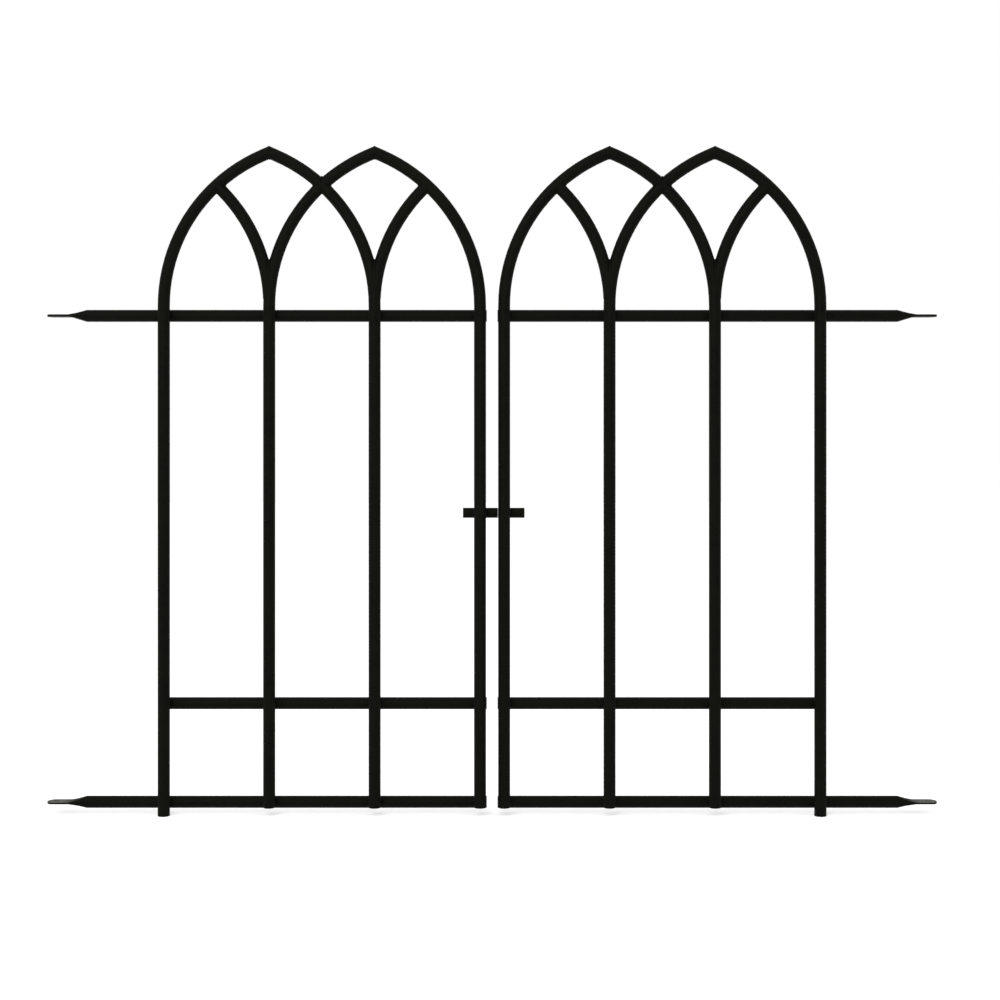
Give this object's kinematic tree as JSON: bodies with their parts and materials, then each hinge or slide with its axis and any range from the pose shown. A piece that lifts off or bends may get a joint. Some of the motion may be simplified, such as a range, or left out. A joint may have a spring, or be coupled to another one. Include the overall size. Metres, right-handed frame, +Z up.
{
  "type": "garden gate",
  "caption": "Low double-leaf garden gate of welded black steel tube, with intersecting pointed arches, flattened pivot tabs at its outer edges and a sliding bolt latch in the middle.",
  "frame": {"origin": "on the ground line, midway between the two pivot lines, in the plane of the rails and pivots", "axes": "+Z up, +X to the right across the opening seen from the front, +Y to the back; the front, with the uprights, faces -Y"},
  "size_m": [1.1898, 0.0484, 0.8895],
  "materials": {
    "coated_tube": "satin",
    "latch_coat": "satin",
    "plug": "matt",
    "plated_steel": "bright zinc plate"
  },
  "bodies": {
    "post_pivots": {"pivot_bushes": "plated_steel"},
    "left_leaf": {"left_hinge_stile": "coated_tube", "left_outer_upright": "coated_tube", "left_inner_upright": "coated_tube", "left_meeting_stile": "coated_tube", "left_top_rail": "coated_tube", "left_mid_rail": "coated_tube", "left_bottom_rail": "coated_tube", "left_foot_plugs": "plug", "left_end_plugs": "plug", "latch_guide": "latch_coat"},
    "right_leaf": {"right_hinge_stile": "coated_tube", "right_outer_upright": "coated_tube", "right_inner_upright": "coated_tube", "right_meeting_stile": "coated_tube", "right_top_rail": "coated_tube", "right_mid_rail": "coated_tube", "right_bottom_rail": "coated_tube", "right_foot_plugs": "plug", "right_end_plugs": "plug", "latch_receiver": "latch_coat"},
    "latch_slider": {"latch_bolt": "plated_steel", "latch_knob": "latch_coat"}
  },
  "joints": [
    {"name": "left_swing", "type": "hinge", "parent": "post_pivots", "child": "left_leaf", "pos_m": [-0.583, 0, 0], "axis": [0, 0, 1], "range_deg": [-90, 90]},
    {"name": "right_swing", "type": "hinge", "parent": "post_pivots", "child": "right_leaf", "pos_m": [0.583, 0, 0], "axis": [0, 0, 1], "range_deg": [-90, 90]},
    {"name": "latch_slide", "type": "slide", "parent": "left_leaf", "child": "latch_slider", "axis": [1, 0, 0], "range_m": [0, 0.026]}
  ]
}
